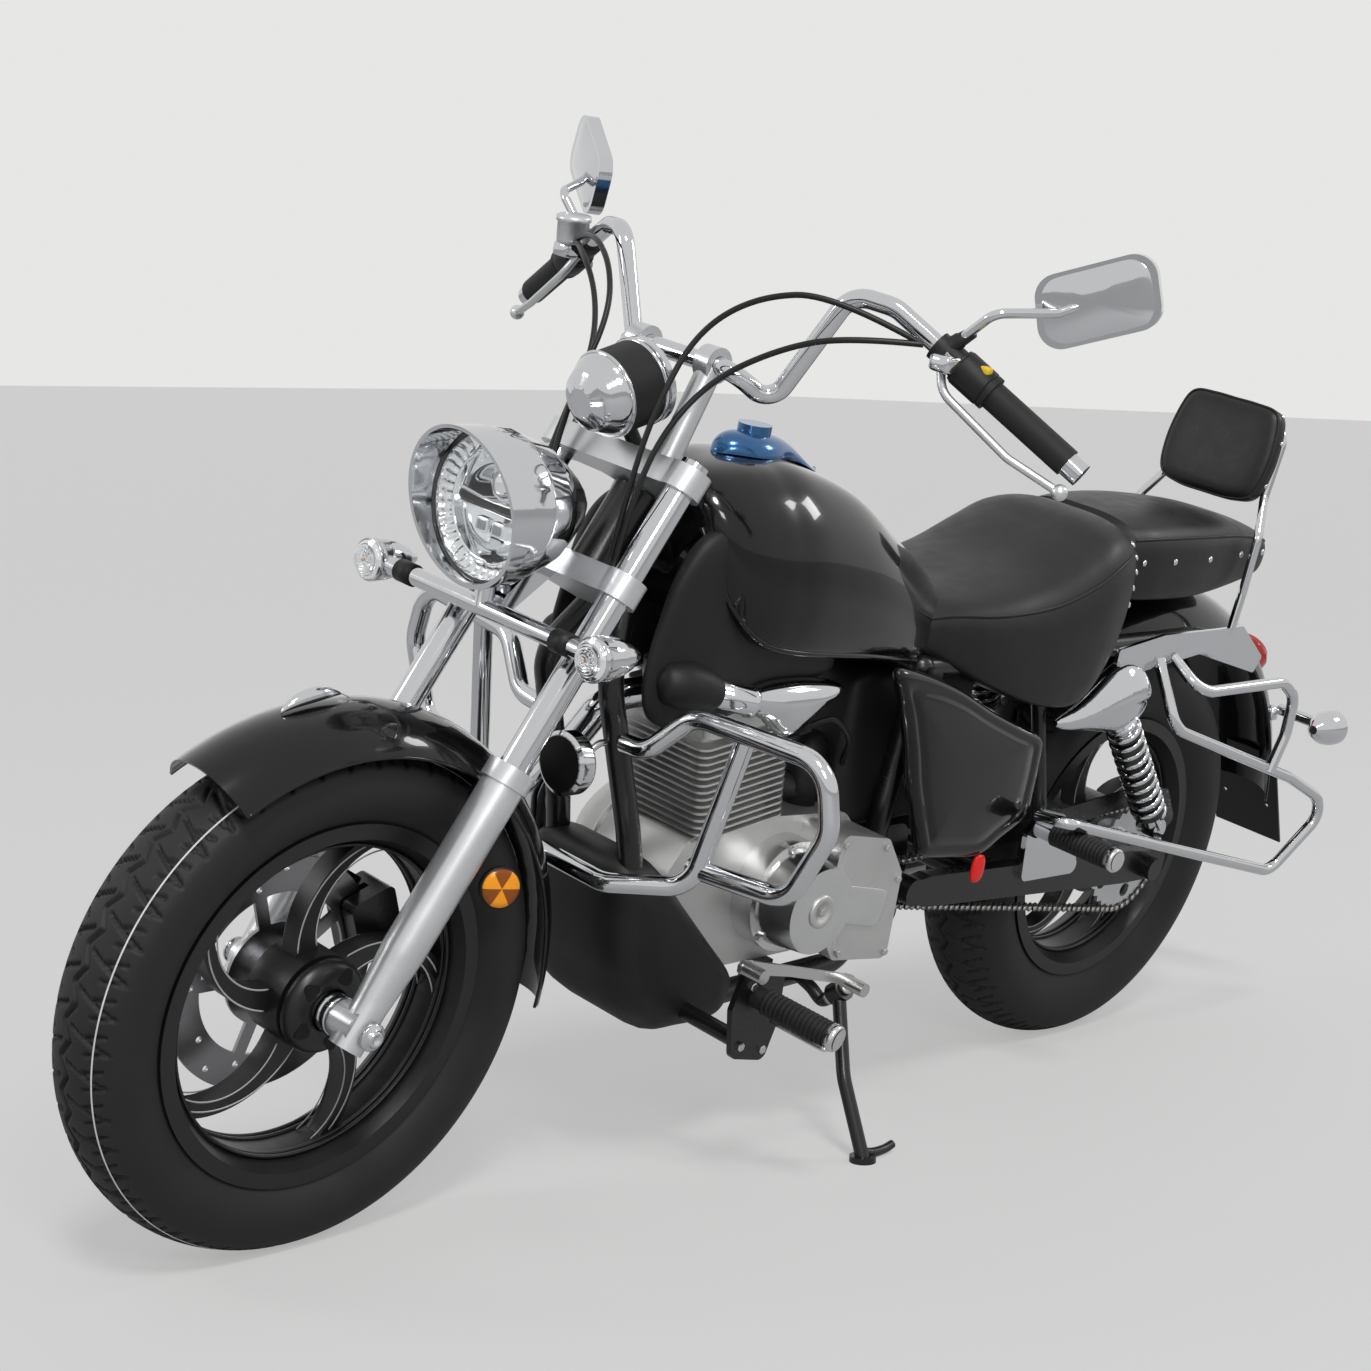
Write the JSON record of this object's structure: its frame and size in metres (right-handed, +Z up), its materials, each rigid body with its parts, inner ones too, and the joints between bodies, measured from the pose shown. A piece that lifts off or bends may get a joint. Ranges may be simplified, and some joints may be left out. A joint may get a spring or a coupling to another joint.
{
  "type": "cruiser motorcycle",
  "caption": "Air-cooled cruiser motorcycle with teardrop tank, raked fork, pull-back bar, two-up seat, chrome guards and side stand.",
  "frame": {"origin": "middle of the footprint on the ground, under the middle of the overall box", "axes": "+X forward along the bike, +Y to the rider's left, +Z up; the bike leans to its left on the side stand"},
  "size_m": [2.245, 0.9695, 1.3095],
  "materials": {
    "black_paint": "gloss",
    "frame_black": "satin",
    "silver_paint": "satin",
    "engine_alloy": "satin",
    "chrome": "polished",
    "wheel_black": "satin",
    "bare_steel": "brushed",
    "chain_steel": "brushed",
    "tyre_rubber": "matte",
    "grip_rubber": "matte",
    "black_plastic": "matte",
    "seat_leather": "satin",
    "blue_metal": "gloss",
    "lamp_shell": "polished",
    "red_lamp": "gloss",
    "cable_black": "satin"
  },
  "bodies": {
    "chassis": {"frame_tubes": "frame_black", "swingarm": "frame_black", "shocks": "chrome", "engine_cases": "engine_alloy", "cylinder": "engine_alloy", "exhaust": "chrome", "belly_cover": "black_paint", "fuel_tank": "black_paint", "tank_console": "blue_metal", "tank_shrouds": "black_plastic", "air_scoops": "chrome", "side_covers": "black_paint", "rider_seat": "seat_leather", "passenger_seat": "seat_leather", "backrest": "seat_leather", "sissy_bar": "chrome", "rear_fender": "black_paint", "rear_lamps": "red_lamp", "engine_guards": "chrome", "saddle_guards": "chrome", "foot_pegs": "grip_rubber", "foot_controls": "bare_steel", "chain": "chain_steel", "chain_guard": "frame_black", "horn": "chrome"},
    "steering": {"fork_clamps": "silver_paint", "fork_tubes": "chrome", "fork_sliders": "silver_paint", "front_fender": "black_paint", "headlight": "lamp_shell", "front_signals": "lamp_shell", "handlebar": "chrome", "hand_grips": "grip_rubber", "hand_controls": "black_plastic", "mirrors": "chrome", "speedometer": "black_plastic", "brake_caliper": "silver_paint", "cables": "cable_black"},
    "front_wheel": {"front_wheel": "wheel_black", "front_tyre": "tyre_rubber", "brake_disc": "bare_steel"},
    "rear_wheel": {"rear_wheel": "wheel_black", "rear_tyre": "tyre_rubber", "sprocket": "silver_paint"},
    "side_stand": {"side_stand": "frame_black"}
  },
  "joints": [
    {"name": "steering", "type": "hinge", "parent": "chassis", "child": "steering", "pos_m": [0.47595, -0.0618, 0.77964], "axis": [-0.5126, 0.1774, 0.8401], "range_deg": [-35, 35]},
    {"name": "front_wheel_spin", "type": "hinge", "parent": "steering", "child": "front_wheel", "pos_m": [0.82046, -0.1637, 0.29717], "axis": [0, 0.9784, -0.2066], "continuous": true},
    {"name": "rear_wheel_spin", "type": "hinge", "parent": "chassis", "child": "rear_wheel", "pos_m": [-0.62954, -0.16256, 0.30255], "axis": [0, 0.9784, -0.2066], "continuous": true},
    {"name": "stand_fold", "type": "hinge", "parent": "chassis", "child": "side_stand", "pos_m": [0.06046, -0.04243, 0.19387], "axis": [0, 0.838, 0.5457], "range_deg": [0, 98]}
  ]
}
